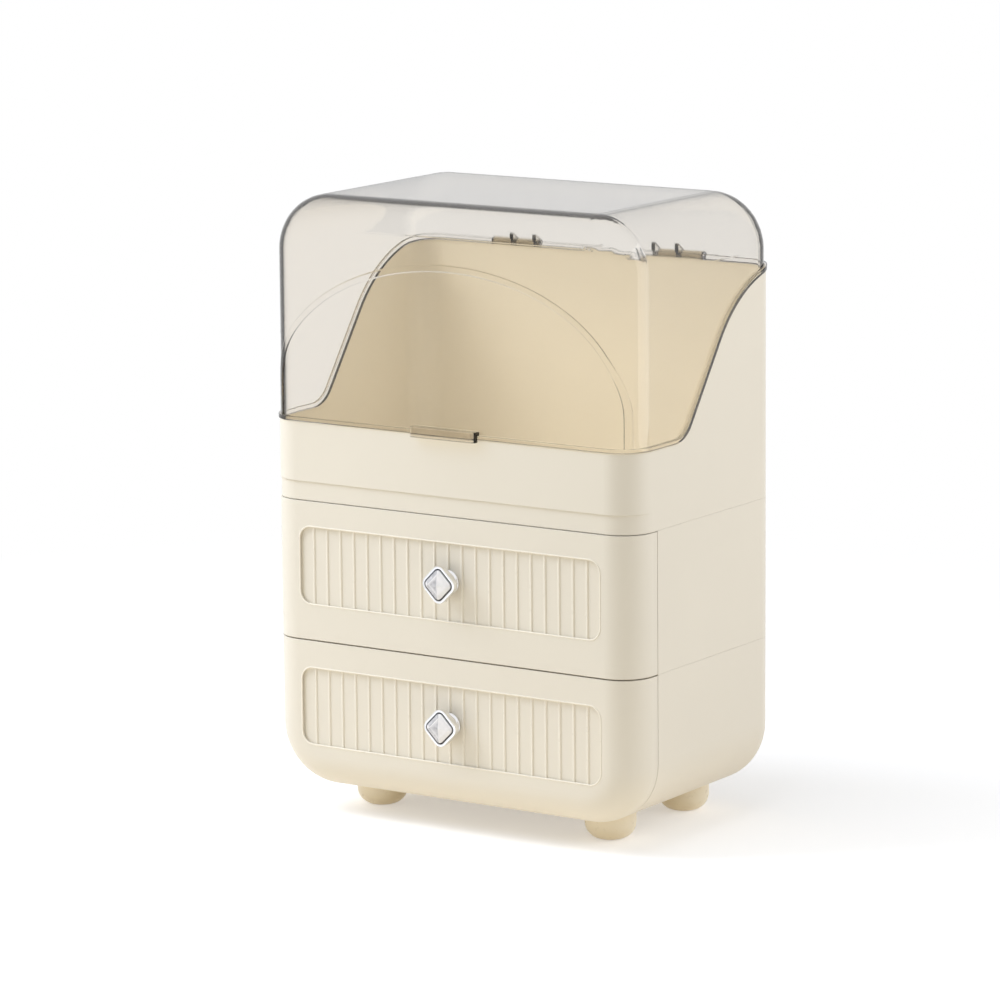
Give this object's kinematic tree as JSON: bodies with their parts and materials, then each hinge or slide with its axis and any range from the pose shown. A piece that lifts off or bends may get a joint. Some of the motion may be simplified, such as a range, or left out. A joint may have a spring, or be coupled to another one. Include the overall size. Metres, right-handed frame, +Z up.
{
  "type": "vanity organizer with drawers",
  "caption": "Vanity organizer: fluted drawers with diamond knobs in stacked casings, an open tray above them and a clear hinged hood over the tray, on round feet",
  "frame": {"origin": "Middle of the footprint of the whole object, knobs and hinges included, on the plane the feet stand on", "axes": "+X to the right as seen from the front, +Y from the drawer faces to the back wall, +Z up"},
  "size_m": [0.2614, 0.1824, 0.3775],
  "materials": {
    "cream_plastic": "satin moulded cream plastic",
    "box_plastic": "satin moulded off-white plastic",
    "clear_plastic": "clear polished plastic with a faint warm tint",
    "chrome": "bright chrome",
    "crystal": "polished pearl-white cut stone",
    "steel": "plain steel"
  },
  "bodies": {
    "housing": {"lower_casing": "cream_plastic", "upper_casing": "cream_plastic", "top_tray": "cream_plastic", "foot_front_left": "cream_plastic", "foot_front_right": "cream_plastic", "foot_rear_left": "cream_plastic", "foot_rear_right": "cream_plastic", "foot_screws": "steel", "upper_casing_screws": "steel", "tray_screws": "steel"},
    "hood": {"clear_hood": "clear_plastic", "hinge_pin_left": "steel", "hinge_pin_right": "steel"},
    "lower_drawer": {"lower_drawer_front": "cream_plastic", "lower_drawer_box": "box_plastic", "lower_drawer_screws": "steel", "lower_knob_rim": "chrome", "lower_knob_stone": "crystal", "lower_knob_screw": "steel"},
    "upper_drawer": {"upper_drawer_front": "cream_plastic", "upper_drawer_box": "box_plastic", "upper_drawer_screws": "steel", "upper_knob_rim": "chrome", "upper_knob_stone": "crystal", "upper_knob_screw": "steel"}
  },
  "joints": [
    {"name": "hood_hinge", "type": "hinge", "parent": "housing", "child": "hood", "pos_m": [0, 0.0888, 0.33427], "axis": [-1, 0, 0], "range_deg": [0, 110]},
    {"name": "lower_drawer_slide", "type": "slide", "parent": "housing", "child": "lower_drawer", "axis": [0, -1, 0], "range_m": [0, 0.1]},
    {"name": "upper_drawer_slide", "type": "slide", "parent": "housing", "child": "upper_drawer", "axis": [0, -1, 0], "range_m": [0, 0.1]}
  ]
}
